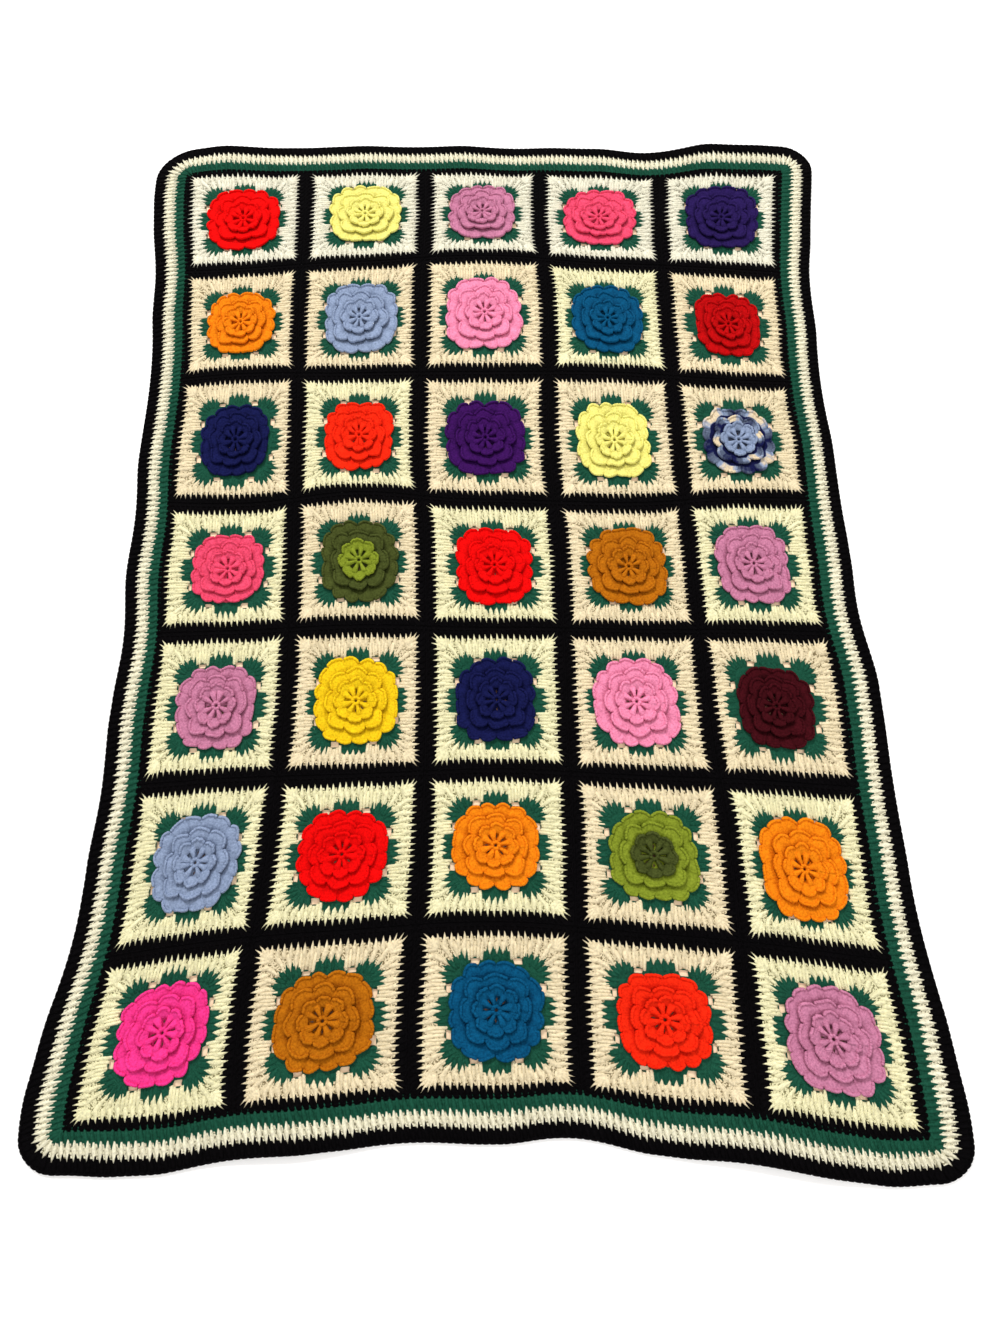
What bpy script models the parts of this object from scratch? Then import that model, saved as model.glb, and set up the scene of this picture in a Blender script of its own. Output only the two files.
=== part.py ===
"""Granny square blanket, laid flat on the surface it rests on.

Thirty-five crocheted squares, five across and seven up, are joined edge to edge and framed by three
worked-on border rounds: green, cream and black. Each square is one piece: a raised rose of three
petal tiers, a green round with eight open chain spaces, cream rounds and a black round.

Metres, +Z up. +Y runs from the foot end to the head end, and z = 0 is the surface under the blanket.
"""

import math
import random
from collections import namedtuple

import bmesh
import bpy
from mathutils import Vector
from mathutils.geometry import delaunay_2d_cdt

MM = 0.001

# Driving dimensions of the flat plan, before the blanket is laid out.
COLUMNS = 5
ROWS = 7
PITCH = 170 * MM  # side of one square with its black round
BLACK_ROUND = 13 * MM  # width of the black round of each square
GREEN_BORDER = 12 * MM
CREAM_BORDER = 14 * MM
BLACK_BORDER = 15 * MM
SHEET = 3.5 * MM  # thickness of the crocheted ground
BORDER_RIDGE = 0.6 * MM  # how much higher the border's post stitches stand
SEAM = 0.3 * MM  # air between two pieces that meet

# The rose: points along a petal, radius of a tier's rim, heights of its rim and of its foot, mm, how
# far the tier is pulled from round towards square by the round it is joined to, and how far it may be
# turned out of line, degrees.
Tier = namedtuple("Tier", "points_per_petal radius rim foot squareness drift")
TIERS = (
    Tier(2, 27.0, 11.5, 8.2, 0.0, 5),
    Tier(3, 38.5, 9.8, 6.2, 1.0, 3),
    Tier(3, 51.0, 7.4, 3.5, 1.0, 1.5),
)
SQUARE_POWER = 2.8
PETALS = 8
HUB_HEIGHT = 8.0 * MM
VALLEY = 0.91  # a petal's notch reaches this share of its radius
VALLEY_DROP = 1.0 * MM
RIM_SLOPE = 0.6 * MM  # how far a rim's foot stands outside the rim
USUAL_WIDTH = 101 * MM  # width of a rose with the radii above

# The open chain spaces of the green round: three corners of the one right of the middle of a side.
SPACE_MIDDLE = 23 * MM
SPACE_HALF_WIDTH = 6.0 * MM
SPACE_INNER = 50.2 * MM
SPACE_OUTER = 55.7 * MM

# Small differences between one square's rose and the next.
SEED = 35
TURN = math.radians(2)

# How the blanket lies: a line across it for each row of squares and for its two ends.
#   at     place of the line up the blanket, in squares from the middle row
#   level  where that line really lies, mm up from the middle row
#   shift  how far its middle has drifted sideways, mm
#   pitch  spacing of the squares along it, mm
#   bow    how much higher its ends lie than its middle, mm
Line = namedtuple("Line", "at level shift pitch bow")
LINES = (
    Line(3.74, 661, -16, 171.0, 0),
    Line(3.0, 536, -17, 167.5, -10),
    Line(2.0, 371, -14, 166.0, -24),
    Line(1.0, 183, -8, 165.0, -6),
    Line(0.0, 3, -2, 165.5, -6),
    Line(-1.0, -172, 4, 166.5, -12),
    Line(-2.0, -346, 5, 170.5, -28),
    Line(-3.0, -519, 3, 178.5, -40),
    Line(-3.74, -646, 5, 181.5, -38),
)

# Places that sit off their line: how far each is pulled across and up, mm, and how far the pull
# reaches, in squares. Row and column count squares from the head end and the left, so parts of a
# square past them lie in the border. The border dips between squares, where the seams draw it in.
Pull = namedtuple("Pull", "row column across up reach", defaults=(1,))
PULLS = (
    Pull(1, 3, 5, 0),
    Pull(2, 2, -5, -2),
    Pull(3, 2, -3, 5),
    Pull(3, 3, -4, -3),
    Pull(4, 2, 0, 7),
    Pull(4, 4, 5, -3),
    Pull(4, 5, -5, 2),
    Pull(6, 4, 3, -3),
    Pull(7, 1, 4, 0),
    Pull(7, 2, -5, -2),
    Pull(1.5, 2, 0, 4),
    Pull(1.5, 3, 0, 10),
    Pull(2.5, 1, 0, 5),
    Pull(2.5, 2, 0, -3),
    Pull(2.5, 5, 0, -4),
    Pull(3.5, 1, 0, -8),
    Pull(3.5, 3, 0, -3),
    Pull(3.5, 4, 0, -7),
    Pull(5.5, 2, 0, -3),
    Pull(5.5, 4, 0, -3),
    Pull(5.5, 5, 0, -3),
    Pull(6.5, 3, 0, 3),
    Pull(6.5, 4, 0, -3),
    Pull(6.5, 5, 0, -5),
    Pull(1, 3.5, -6, 0),
    Pull(2, 3.5, 5, 0),
    Pull(3, 2.5, -4, 0),
    Pull(6, 1.5, -4, 0),
    Pull(6, 4.5, 7, 0),
    Pull(7, 1.5, -6, 0),
    Pull(7, 4.5, 5, 0),
    Pull(0.3, 4.0, 0, -6),
    Pull(0.6, 0.2, -8, 0),
    Pull(0.5, 5.8, 9, 0),
    Pull(2.3, 0.3, 8, 0),
    Pull(6.3, 0.2, 8, 0),
    Pull(2.5, 5.8, -8, 0),
    Pull(3.9, 5.8, -5, 0),
    Pull(6.4, 5.8, -7, 0),
    Pull(7.7, 0.2, -5, 0),
    Pull(7.0, 0.2, -3, 0),
    Pull(7.0, 5.8, 4, 0),
    Pull(7.7, 2.0, 0, -4),
    Pull(8.0, 3.0, 0, -4),
    Pull(7.8, 1.1, 0, -9),
    Pull(7.8, 4.2, 0, -10),
    Pull(7.8, 5.2, 0, -13),
    Pull(1.5, 0.35, 5, 0, 0.45),
    Pull(3.6, 0.35, 4, 0, 0.45),
    Pull(4.5, 0.35, 5, 0, 0.45),
    Pull(5.5, 0.35, 6, 0, 0.45),
    Pull(6.5, 0.35, 3, 0, 0.45),
    Pull(1.6, 5.65, -5, 0, 0.45),
    Pull(3.4, 5.65, -3, 0, 0.45),
    Pull(4.4, 5.65, -6, 0, 0.45),
    Pull(5.5, 5.65, -3, 0, 0.45),
    Pull(7.15, 5.65, -4, 0, 0.4),
    Pull(7.65, 1.5, 0, 5, 0.45),
    Pull(7.65, 2.5, 0, 4, 0.45),
    Pull(7.65, 3.45, 0, 8, 0.45),
    Pull(7.65, 4.5, 0, 3, 0.45),
    Pull(0.35, 1.3, 0, -5, 0.5),
    Pull(0.35, 2.4, 0, -3, 0.5),
    Pull(0.35, 3.2, 0, -5, 0.45),
    Pull(0.35, 4.45, 0, -11, 0.5),
    Pull(0.35, 5.2, 0, -5, 0.4),
    Pull(7.65, 0.35, 8, 11, 0.5),
    Pull(7.65, 5.65, -6, 11, 0.5),
    Pull(0.35, 0.35, 4, -11, 0.5),
    Pull(0.35, 5.65, 0, -5, 0.4),
    Pull(0.4, 1.7, 0, -3, 0.4),
    Pull(0.4, 4.85, 0, -3, 0.45),
    Pull(7.6, 0.75, 0, 4, 0.4),
    Pull(7.1, 0.35, 4, 0, 0.4),
)

# Where the cloth doesn't touch down: middle and reach in squares, and height in mm.
Ripple = namedtuple("Ripple", "across up reach height")
RIPPLES = (
    Ripple(2.0, 3.85, 0.75, 7.0),
    Ripple(-2.75, 2.4, 0.6, 5.0),
    Ripple(-2.75, -1.6, 0.7, 5.0),
    Ripple(2.8, -0.6, 0.6, 5.0),
    Ripple(-1.2, -3.85, 0.6, 5.0),
    Ripple(1.6, -3.85, 0.7, 6.0),
    Ripple(2.8, -3.3, 0.5, 4.0),
)

# Rounding of the border's outer edge at its four corners, mm.
Corner = namedtuple("Corner", "side end radius")
CORNERS = (
    Corner(-1, -1, 40),
    Corner(1, -1, 38),
    Corner(1, 1, 42),
    Corner(-1, 1, 52),
)
ARC_STEPS = 5
LEAST_RADIUS = 3 * MM
SAME_POINT = 1e-7  # plan points nearer than this would merge

# Yarns as linear colours.
YARNS = {
    "black": (0.006, 0.006, 0.008),
    "green": (0.004, 0.085, 0.052),
    "cream": (0.83, 0.76, 0.50),
    "scarlet": (0.80, 0.008, 0.006),
    "lemon": (0.86, 0.78, 0.26),
    "orchid": (0.40, 0.17, 0.36),
    "coral": (0.68, 0.07, 0.15),
    "indigo": (0.040, 0.018, 0.13),
    "orange": (0.90, 0.24, 0.012),
    "heather": (0.20, 0.32, 0.60),
    "pink": (0.78, 0.23, 0.40),
    "teal": (0.008, 0.12, 0.25),
    "crimson": (0.42, 0.008, 0.010),
    "navy": (0.014, 0.016, 0.10),
    "tangerine": (0.84, 0.045, 0.008),
    "violet": (0.065, 0.012, 0.17),
    "olive": (0.065, 0.085, 0.022),
    "ochre": (0.33, 0.14, 0.018),
    "gold": (0.88, 0.46, 0.012),
    "burgundy": (0.060, 0.006, 0.014),
    "lime": (0.17, 0.24, 0.030),
    "magenta": (0.86, 0.035, 0.26),
    "variegated": (0.16, 0.20, 0.32),
}

# The rose in each square, from the head end down and from the left: its yarn, how far it sits off the
# middle of the square across and up, and its width, mm. The green round is worked onto the rose, so
# its open spaces go with it.
Rose = namedtuple("Rose", "yarn across up width")
ROSES = (
    (Rose("scarlet", -2, -3, 101), Rose("lemon", 2, -2, 102), Rose("orchid", -2, -3, 101),
     Rose("coral", 0, -4, 100), Rose("indigo", 2, -1, 102)),
    (Rose("orange", 1, -5, 99), Rose("heather", 2, -4, 102), Rose("pink", -2, -6, 102),
     Rose("teal", -1, -7, 104), Rose("crimson", -1, -3, 94)),
    (Rose("navy", 3, -4, 92), Rose("tangerine", 3, -5, 98), Rose("violet", 3, -2, 101),
     Rose("lemon", -1, -5, 99), Rose("variegated", -5, -4, 95)),
    (Rose("coral", 4, -3, 95), Rose("olive", 0, -5, 102), Rose("scarlet", 3, -4, 101),
     Rose("ochre", -1, 0, 103), Rose("orchid", -1, -2, 99)),
    (Rose("orchid", 2, -3, 98), Rose("gold", 0, -1, 100), Rose("navy", 0, -3, 99),
     Rose("pink", -1, -2, 103), Rose("burgundy", -3, -2, 93)),
    (Rose("heather", 4, -1, 101), Rose("scarlet", -2, -3, 99), Rose("orange", -2, -1, 98),
     Rose("lime", -1, 0, 97), Rose("orange", -1, -3, 105)),
    (Rose("magenta", 2, 3, 96), Rose("ochre", 2, -2, 98), Rose("teal", 1, -2, 98),
     Rose("tangerine", 0, -1, 93), Rose("orchid", -1, 0, 103)),
)


def along(at, column):
    """A column of LINES, read smoothly between its lines at a place up the blanket."""
    last = len(LINES) - 2
    k = next((i for i in range(last) if at >= LINES[i + 1].at), last)
    near = [LINES[min(max(i, 0), last + 1)] for i in (k - 1, k, k + 1, k + 2)]
    place = [line.at for line in near]
    value = [getattr(line, column) for line in near]
    span = place[2] - place[1]
    slope_a = (value[2] - value[0]) / (place[2] - place[0])
    slope_b = (value[3] - value[1]) / (place[3] - place[1])
    u = (at - place[1]) / span
    return (
        value[1] * (1 + 2 * u) * (1 - u) ** 2
        + value[2] * u * u * (3 - 2 * u)
        + slope_a * span * u * (1 - u) ** 2
        + slope_b * span * u * u * (u - 1)
    )


def bump(distance):
    """1 in the middle of a local change, falling smoothly to 0 at distance 1."""
    return (1 - distance * distance) ** 2 if distance < 1 else 0.0


def laid(s, t):
    """Where the plan point (s, t) comes to lie: x, y and how high its underside is lifted."""
    at = t / PITCH
    end = s / (COLUMNS * PITCH / 2)
    x = along(at, "shift") + along(at, "pitch") * s / PITCH
    y = along(at, "level") + along(at, "bow") * end * end
    for pull in PULLS:
        across = s / PITCH - (pull.column - 3)
        up = at - (4 - pull.row)
        share = bump(math.hypot(across, up) / pull.reach)
        x += share * pull.across
        y += share * pull.up
    lift = sum(
        ripple.height * bump(math.hypot(s / PITCH - ripple.across, at - ripple.up) / ripple.reach)
        for ripple in RIPPLES
    )
    return x * MM, y * MM, lift * MM


def edge_places(count):
    """Places of the square corners and side middles along one side of the joined squares."""
    half = PITCH / 2
    return [half * i for i in range(1 - count, count)]


def rim(offset, sharp=False):
    """Plan outline of the border at a distance outside the joined squares, anticlockwise."""
    half_width = COLUMNS * PITCH / 2 + offset
    half_height = ROWS * PITCH / 2 + offset
    border = GREEN_BORDER + CREAM_BORDER + BLACK_BORDER
    points = []
    for index, corner in enumerate(CORNERS):
        radius = 0 if sharp else max(corner.radius * MM - (border - offset), LEAST_RADIUS)
        middle_s = corner.side * (half_width - radius)
        middle_t = corner.end * (half_height - radius)
        for step in range(1 if sharp else ARC_STEPS + 1):
            angle = math.pi / 2 * (index + 2 + step / ARC_STEPS)
            points.append((middle_s + radius * math.cos(angle), middle_t + radius * math.sin(angle)))
        if corner.side == corner.end:
            points += [(-corner.end * s, corner.end * half_height)
                       for s in edge_places(COLUMNS)]
        else:
            points += [(corner.side * half_width, t * corner.side) for t in edge_places(ROWS)]
    return points


def middle_of_outline():
    """Middle of the laid blanket's outline, which becomes the origin."""
    outline = [laid(s, t) for s, t in rim(GREEN_BORDER + CREAM_BORDER + BLACK_BORDER)]
    xs = [point[0] for point in outline]
    ys = [point[1] for point in outline]
    return (min(xs) + max(xs)) / 2, (min(ys) + max(ys)) / 2


MIDDLE = middle_of_outline()


def place(s, t, z):
    """World position of the plan point (s, t) at the height z above the cloth's underside."""
    x, y, lift = laid(s, t)
    return Vector((x - MIDDLE[0], y - MIDDLE[1], z + lift))


def inside(point, loop):
    """True if the plan point lies inside the closed loop."""
    s, t = point
    crossings = 0
    for (s0, t0), (s1, t1) in zip(loop, loop[1:] + loop[:1]):
        if (t0 > t) != (t1 > t) and s < s0 + (t - t0) / (t1 - t0) * (s1 - s0):
            crossings += 1
    return crossings % 2 == 1


def triangles(outline, holes, rings, spots):
    """Triangles between plan loops, as indices into outline + holes + rings + spots in that order."""
    points, edges = [], []
    for loop in [outline] + holes + rings:
        first = len(points)
        points += loop
        edges += [(first + i, first + (i + 1) % len(loop)) for i in range(len(loop))]
    points += spots
    corners, _, faces, sources, _, _ = delaunay_2d_cdt([Vector(p) for p in points], edges, [], 0, SAME_POINT)
    found = []
    for face in faces:
        middle = sum((corners[i] for i in face), Vector((0, 0))) / 3
        if inside(middle, outline) and not any(inside(middle, hole) for hole in holes):
            found.append([sources[i][0] for i in face])
    return found


def crocheted(name, outline, holes, rings, spots, heights, colour_of):
    """One closed solid: a top through all the loops, a flat underside and walls at its edges.

    heights gives z for each point of outline + holes + rings + spots. colour_of names the yarn of a
    top face from the plan position of its middle.
    """
    top = [p for loop in [outline] + holes + rings for p in loop] + spots
    base = [p for loop in [outline] + holes for p in loop]
    lower = len(top)
    verts = [place(s, t, z) for (s, t), z in zip(top, heights)] + [place(s, t, 0) for s, t in base]
    upper_faces = triangles(outline, holes, rings, spots)
    faces = list(upper_faces)
    faces += [[i + lower for i in reversed(face)] for face in triangles(outline, holes, [], [])]
    first = 0
    for loop in [outline] + holes:
        for i in range(len(loop)):
            a, b = first + i, first + (i + 1) % len(loop)
            faces += [[a, b, b + lower], [a, b + lower, a + lower]]
        first += len(loop)

    mesh = bpy.data.meshes.new(name)
    mesh.from_pydata(verts, [], faces)
    yarns = []
    for polygon, face in zip(mesh.polygons, faces):
        plan = [top[i] if i < lower else base[i - lower] for i in face]
        yarn = colour_of(sum(p[0] for p in plan) / 3, sum(p[1] for p in plan) / 3)
        if yarn not in yarns:
            yarns.append(yarn)
            mesh.materials.append(yarn_material(yarn))
        polygon.material_index = yarns.index(yarn)
    bm = bmesh.new()
    bm.from_mesh(mesh)
    bmesh.ops.recalc_face_normals(bm, faces=bm.faces)
    bm.to_mesh(mesh)
    bm.free()
    piece = bpy.data.objects.new(name, mesh)
    bpy.context.scene.collection.objects.link(piece)
    return piece


def yarn_material(yarn):
    """The material of one yarn, made once."""
    name = yarn + "_yarn"
    if name in bpy.data.materials:
        return bpy.data.materials[name]
    material = bpy.data.materials.new(name)
    material.use_nodes = True
    shader = material.node_tree.nodes["Principled BSDF"]
    shader.inputs["Base Color"].default_value = (*YARNS[yarn], 1)
    shader.inputs["Roughness"].default_value = 0.9
    shader.inputs["Metallic"].default_value = 0.0
    return material


def petal_ring(tier, middle, turn, size, foot):
    """Plan points and heights of one tier's rim, or of the foot just outside it."""
    count = PETALS * tier.points_per_petal
    points, heights = [], []
    for i in range(count):
        valley = i % tier.points_per_petal == 0
        angle = turn + math.pi / PETALS + 2 * math.pi * i / count
        corner = (abs(math.cos(angle)) ** SQUARE_POWER + abs(math.sin(angle)) ** SQUARE_POWER) ** (-1 / SQUARE_POWER)
        radius = tier.radius * MM * size * (VALLEY if valley else 1) * (1 + tier.squareness * (corner - 1))
        radius += RIM_SLOPE if foot else 0
        points.append((middle[0] + radius * math.cos(angle), middle[1] + radius * math.sin(angle)))
        heights.append(tier.foot * MM if foot else tier.rim * MM - (VALLEY_DROP if valley else 0))
    return points, heights


def chain_spaces(middle):
    """The eight triangular open spaces between the clusters of the green round."""
    spaces = []
    for side in range(4):
        cosine, sine = (1, 0, -1, 0)[side], (0, 1, 0, -1)[side]
        for hand in (-1, 1):
            along_side = hand * SPACE_MIDDLE
            corners = (
                (SPACE_INNER, along_side - SPACE_HALF_WIDTH),
                (SPACE_OUTER, along_side),
                (SPACE_INNER, along_side + SPACE_HALF_WIDTH),
            )
            spaces.append([
                (middle[0] + out * cosine - across * sine, middle[1] + out * sine + across * cosine)
                for out, across in corners
            ])
    return spaces


def square_ring(middle, half):
    """A square's outline at a distance from its middle: corners and side middles, anticlockwise."""
    steps = ((-1, -1), (0, -1), (1, -1), (1, 0), (1, 1), (0, 1), (-1, 1), (-1, 0))
    return [(middle[0] + half * i, middle[1] + half * j) for i, j in steps]


def granny_square(row, column):
    """One square, crocheted in one piece from its rose out to its black round."""
    chance = random.Random(SEED + 10 * row + column)
    middle = ((column - 3) * PITCH, (4 - row) * PITCH)
    own = ROSES[row - 1][column - 1]
    rose = (middle[0] + own.across * MM, middle[1] + own.up * MM)
    size = own.width * MM / USUAL_WIDTH
    turn = chance.uniform(-TURN, TURN)

    outline = square_ring(middle, (PITCH - SEAM) / 2)
    holes = chain_spaces(rose)
    black_edge = PITCH / 2 - BLACK_ROUND
    rings = [square_ring(middle, black_edge)]
    heights = [SHEET] * (len(outline) + sum(len(hole) for hole in holes) + len(rings[0]))
    for tier in reversed(TIERS):
        drift = turn + math.radians(chance.uniform(-tier.drift, tier.drift))
        for foot in (True, False):
            points, levels = petal_ring(tier, rose, drift, size, foot)
            rings.append(points)
            heights += levels
    heights.append(HUB_HEIGHT)

    outer_rim = rings[1]

    def colour_of(s, t):
        if inside((s, t), outer_rim):
            return own.yarn
        if max(abs(s - middle[0]), abs(t - middle[1])) > black_edge:
            return "black"
        return "cream"

    return crocheted(f"square_r{row}_c{column}", outline, holes, rings, [rose], heights, colour_of)


def border_round(name, yarn, inner, outer, sharp):
    """One round of the border, a closed band between two distances outside the squares."""
    outline = rim(outer - SEAM / 2)
    hole = rim(inner + SEAM / 2, sharp)
    heights = [SHEET + BORDER_RIDGE] * (len(outline) + len(hole))
    return crocheted(name, outline, [hole], [], [], heights, lambda s, t: yarn)


def build():
    for ob in list(bpy.data.objects):
        bpy.data.objects.remove(ob)
    for row in range(1, ROWS + 1):
        for column in range(1, COLUMNS + 1):
            granny_square(row, column)
    green_edge = GREEN_BORDER
    cream_edge = green_edge + CREAM_BORDER
    black_edge = cream_edge + BLACK_BORDER + SEAM / 2
    border_round("border_green", "green", 0, green_edge, True)
    border_round("border_cream", "cream", green_edge, cream_edge, False)
    border_round("border_black", "black", cream_edge, black_edge, False)


build()
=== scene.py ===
"""Granny square blanket, dressed: every stitch that shows is a body of its own, in its own yarn.

The plan of the flat blanket and the way it is laid out are the ones the solids have, so each square's
stitches lie where its solid lies. Plan measures are in millimetres here unless a name says otherwise.
"""

import random
from collections import namedtuple
from math import ceil, copysign, cos, floor, hypot, pi, radians, sin

import bpy
import numpy as np
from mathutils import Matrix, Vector
from mathutils.geometry import delaunay_2d_cdt


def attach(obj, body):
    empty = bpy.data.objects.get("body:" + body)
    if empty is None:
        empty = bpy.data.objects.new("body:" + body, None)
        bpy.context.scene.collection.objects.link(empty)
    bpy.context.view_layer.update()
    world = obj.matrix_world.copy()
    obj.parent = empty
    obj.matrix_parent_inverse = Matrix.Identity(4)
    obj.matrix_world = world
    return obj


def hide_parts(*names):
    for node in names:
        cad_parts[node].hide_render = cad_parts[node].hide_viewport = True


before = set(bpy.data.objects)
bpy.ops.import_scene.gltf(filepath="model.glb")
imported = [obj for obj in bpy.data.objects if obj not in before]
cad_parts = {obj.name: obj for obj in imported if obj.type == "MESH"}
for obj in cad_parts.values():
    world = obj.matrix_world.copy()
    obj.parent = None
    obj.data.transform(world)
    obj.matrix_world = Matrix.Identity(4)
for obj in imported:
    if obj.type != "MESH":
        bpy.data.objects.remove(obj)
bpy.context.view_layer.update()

MM = 0.001

# -------------------- the flat plan, as in the solids
COLUMNS = 5
ROWS = 7
PITCH = 170.0
BLACK_ROUND = 13.0
GREEN_BORDER = 12.0
CREAM_BORDER = 14.0
BLACK_BORDER = 15.0
BORDER = GREEN_BORDER + CREAM_BORDER + BLACK_BORDER

Tier = namedtuple("Tier", "radius rim foot squareness drift")
TIERS = (Tier(27.0, 11.5, 8.2, 0.0, 5), Tier(38.5, 9.8, 6.2, 1.0, 3), Tier(51.0, 7.4, 3.5, 1.0, 1.5))
PETALS = 8
SQUARE_POWER = 2.8

SPACE_MIDDLE = 23.0
SPACE_HALF_WIDTH = 6.0
SPACE_INNER = 50.2
SPACE_OUTER = 55.7

SEED = 35
TURN = radians(2)
USUAL_WIDTH = 101.0

Line = namedtuple("Line", "at level shift pitch bow")
LINES = [Line(*line) for line in (
    (3.74, 661, -16, 171.0, 0), (3.0, 536, -17, 167.5, -10), (2.0, 371, -14, 166.0, -24),
    (1.0, 183, -8, 165.0, -6), (0.0, 3, -2, 165.5, -6), (-1.0, -172, 4, 166.5, -12),
    (-2.0, -346, 5, 170.5, -28), (-3.0, -519, 3, 178.5, -40), (-3.74, -646, 5, 181.5, -38),
)]
Pull = namedtuple("Pull", "row column across up reach", defaults=(1,))
PULLS = [Pull(*pull) for pull in (
    (1, 3, 5, 0), (2, 2, -5, -2), (3, 2, -3, 5), (3, 3, -4, -3), (4, 2, 0, 7), (4, 4, 5, -3),
    (4, 5, -5, 2), (6, 4, 3, -3), (7, 1, 4, 0), (7, 2, -5, -2), (1.5, 2, 0, 4), (1.5, 3, 0, 10),
    (2.5, 1, 0, 5), (2.5, 2, 0, -3), (2.5, 5, 0, -4), (3.5, 1, 0, -8), (3.5, 3, 0, -3), (3.5, 4, 0, -7),
    (5.5, 2, 0, -3), (5.5, 4, 0, -3), (5.5, 5, 0, -3), (6.5, 3, 0, 3), (6.5, 4, 0, -3), (6.5, 5, 0, -5),
    (1, 3.5, -6, 0), (2, 3.5, 5, 0), (3, 2.5, -4, 0), (6, 1.5, -4, 0), (6, 4.5, 7, 0), (7, 1.5, -6, 0),
    (7, 4.5, 5, 0), (0.3, 4.0, 0, -6), (0.6, 0.2, -8, 0), (0.5, 5.8, 9, 0), (2.3, 0.3, 8, 0),
    (6.3, 0.2, 8, 0), (2.5, 5.8, -8, 0), (3.9, 5.8, -5, 0), (6.4, 5.8, -7, 0), (7.7, 0.2, -5, 0),
    (7.0, 0.2, -3, 0), (7.0, 5.8, 4, 0), (7.7, 2.0, 0, -4), (8.0, 3.0, 0, -4), (7.8, 1.1, 0, -9),
    (7.8, 4.2, 0, -10), (7.8, 5.2, 0, -13), (1.5, 0.35, 5, 0, 0.45), (3.6, 0.35, 4, 0, 0.45),
    (4.5, 0.35, 5, 0, 0.45), (5.5, 0.35, 6, 0, 0.45), (6.5, 0.35, 3, 0, 0.45), (1.6, 5.65, -5, 0, 0.45),
    (3.4, 5.65, -3, 0, 0.45), (4.4, 5.65, -6, 0, 0.45), (5.5, 5.65, -3, 0, 0.45),
    (7.15, 5.65, -4, 0, 0.4), (7.65, 1.5, 0, 5, 0.45), (7.65, 2.5, 0, 4, 0.45),
    (7.65, 3.45, 0, 8, 0.45), (7.65, 4.5, 0, 3, 0.45), (0.35, 1.3, 0, -5, 0.5), (0.35, 2.4, 0, -3, 0.5),
    (0.35, 3.2, 0, -5, 0.45), (0.35, 4.45, 0, -11, 0.5), (0.35, 5.2, 0, -5, 0.4),
    (7.65, 0.35, 8, 11, 0.5), (7.65, 5.65, -6, 11, 0.5), (0.35, 0.35, 4, -11, 0.5),
    (0.35, 5.65, 0, -5, 0.4), (0.4, 1.7, 0, -3, 0.4), (0.4, 4.85, 0, -3, 0.45), (7.6, 0.75, 0, 4, 0.4),
    (7.1, 0.35, 4, 0, 0.4),
)]
Ripple = namedtuple("Ripple", "across up reach height")
RIPPLES = [Ripple(*ripple) for ripple in (
    (2.0, 3.85, 0.75, 7.0), (-2.75, 2.4, 0.6, 5.0), (-2.75, -1.6, 0.7, 5.0), (2.8, -0.6, 0.6, 5.0),
    (-1.2, -3.85, 0.6, 5.0), (1.6, -3.85, 0.7, 6.0), (2.8, -3.3, 0.5, 4.0),
)]
Corner = namedtuple("Corner", "side end radius")
CORNERS = (Corner(-1, -1, 40), Corner(1, -1, 38), Corner(1, 1, 42), Corner(-1, 1, 52))
LEAST_RADIUS = 3.0
ARC_STEPS = 10  # steps round a corner of a line in the border
OUTLINE_STEPS = 5  # and round one of the solids' outline
SAME_POINT = 1e-5

# -------------------- yarns, as linear colours
YARNS = {
    "black": (0.0022, 0.0018, 0.0022), "green": (0.01, 0.073, 0.042), "cream": (0.815, 0.768, 0.572),
    "cream_warm": (0.78, 0.662, 0.436), "cream_pale": (0.8, 0.752, 0.466),
    "cream_head_lit": (0.768, 0.735, 0.582), "scarlet": (0.83, 0.002, 0.002), "lemon": (0.87, 0.8, 0.212),
    "orchid": (0.56, 0.205, 0.33), "coral": (0.83, 0.074, 0.158), "indigo": (0.02, 0.009, 0.08),
    "orange": (0.87, 0.23, 0.005), "heather": (0.264, 0.33, 0.477), "pink": (0.86, 0.26, 0.42),
    "teal": (0.002, 0.078, 0.18), "crimson": (0.49, 0.002, 0.003), "navy": (0.007, 0.009, 0.065),
    "tangerine": (0.9, 0.022, 0.004), "violet": (0.043, 0.005, 0.095), "olive": (0.061, 0.076, 0.016),
    "ochre": (0.475, 0.143, 0.004), "gold": (0.87, 0.57, 0.009), "burgundy": (0.05, 0.003, 0.006),
    "lime": (0.22, 0.275, 0.022), "magenta": (0.93, 0.042, 0.27), "variegated": (0.16, 0.2, 0.32),
}
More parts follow.
